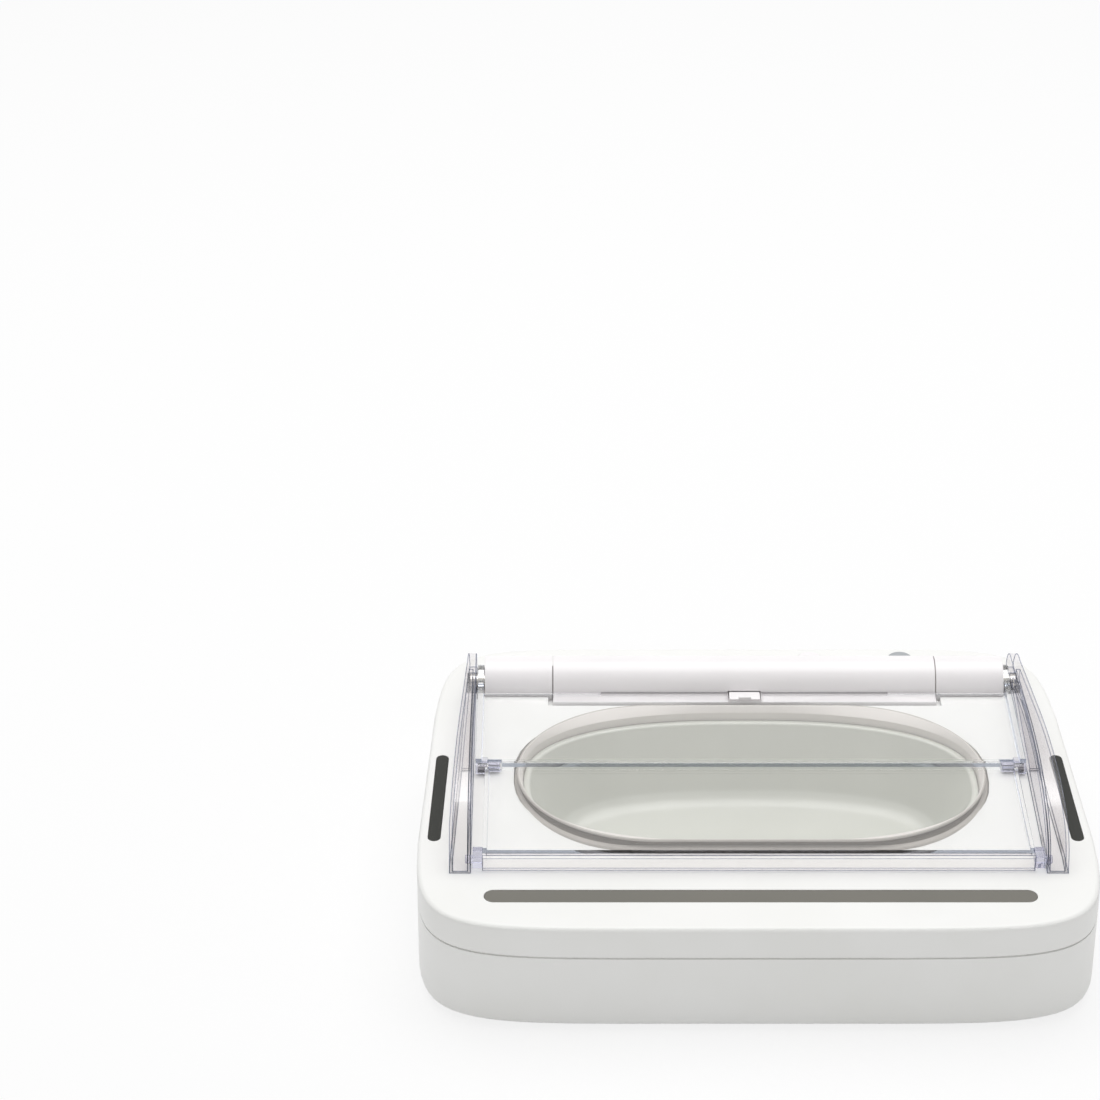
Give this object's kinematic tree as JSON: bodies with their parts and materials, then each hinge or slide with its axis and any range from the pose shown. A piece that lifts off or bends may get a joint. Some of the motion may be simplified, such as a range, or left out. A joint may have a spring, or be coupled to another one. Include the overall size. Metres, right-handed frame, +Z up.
{
  "type": "motion activated sealed pet bowl",
  "caption": "Low white pet bowl housing with a grey oval bowl in a soft seal ring, under a clear lid that a motor lifts and folds in two along curved side guides.",
  "frame": {"origin": "centre of the footprint, at the height of the table under the feet", "axes": "+X to the right seen from the front, +Y to the hinge side at the back, +Z up"},
  "size_m": [0.3122, 0.227, 0.0871],
  "materials": {
    "housing_white": "fine satin moulded ABS",
    "window_smoked": "polished infra-red filter plastic",
    "bowl_grey": "smooth satin moulded plastic",
    "seal_grey": "soft matte elastomer",
    "lid_clear": "clear polished polycarbonate",
    "steel_bright": "bright zinc-plated",
    "bearing_plastic": "smooth acetal",
    "board_green": "solder resist",
    "cell_jacket": "plain shrink jacket",
    "foot_rubber": "matte moulded rubber",
    "button_grey": "satin moulded plastic"
  },
  "bodies": {
    "housing": {"upper_shell": "housing_white", "lower_shell": "housing_white", "front_window": "window_smoked", "left_window": "window_smoked", "right_window": "window_smoked", "bowl": "bowl_grey", "bowl_seal": "seal_grey", "left_tube_end": "housing_white", "right_tube_end": "housing_white", "left_hinge_pin": "steel_bright", "right_hinge_pin": "steel_bright", "left_cheek": "lid_clear", "right_cheek": "lid_clear", "gearmotor": "steel_bright", "left_bush": "bearing_plastic", "right_bush": "bearing_plastic", "main_board": "board_green", "front_sensor_board": "board_green", "left_sensor_board": "board_green", "right_sensor_board": "board_green", "button_switches": "board_green", "left_cells": "cell_jacket", "right_cells": "cell_jacket", "battery_contacts": "steel_bright", "battery_springs": "steel_bright", "rubber_feet": "foot_rubber", "case_screws": "steel_bright"},
    "rear_lid": {"hinge_sleeve": "housing_white", "sleeve_plugs": "housing_white", "drive_coupling": "bearing_plastic", "rear_panel": "lid_clear", "left_mid_pin": "steel_bright", "right_mid_pin": "steel_bright"},
    "latch": {"release_latch": "housing_white"},
    "front_lid": {"front_panel": "lid_clear", "left_guide_shoe": "lid_clear", "right_guide_shoe": "lid_clear"},
    "lid_button_body": {"lid_button": "button_grey"},
    "mode_button_body": {"mode_button": "housing_white"},
    "left_door": {"left_battery_door": "housing_white"},
    "right_door": {"right_battery_door": "housing_white"}
  },
  "joints": [
    {"name": "lid_hinge", "type": "hinge", "parent": "housing", "child": "rear_lid", "pos_m": [0, 0.082, 0.06399], "axis": [-1, 0, 0], "range_deg": [0, 100]},
    {"name": "fold_hinge", "type": "hinge", "parent": "rear_lid", "child": "front_lid", "pos_m": [0, 0.0055, 0.06399], "axis": [1, 0, 0], "range_deg": [0, 165]},
    {"name": "latch_slide", "type": "slide", "parent": "rear_lid", "child": "latch", "axis": [0, 1, 0], "range_m": [0, 0.0015], "stiffness_N_per_m": 300},
    {"name": "lid_button_press", "type": "slide", "parent": "housing", "child": "lid_button_body", "axis": [0, 0.0352, -0.9994], "range_m": [0, 0.0012], "stiffness_N_per_m": 400},
    {"name": "mode_button_press", "type": "slide", "parent": "housing", "child": "mode_button_body", "axis": [0, 0.0352, -0.9994], "range_m": [0, 0.0012], "stiffness_N_per_m": 400},
    {"name": "left_door_slide", "type": "slide", "parent": "housing", "child": "left_door", "axis": [0, -1, 0], "range_m": [0, 0.009]},
    {"name": "right_door_slide", "type": "slide", "parent": "housing", "child": "right_door", "axis": [0, -1, 0], "range_m": [0, 0.009]}
  ],
  "couplings": [
    {"joint": "fold_hinge", "follows": "lid_hinge", "ratio": 1.65}
  ]
}
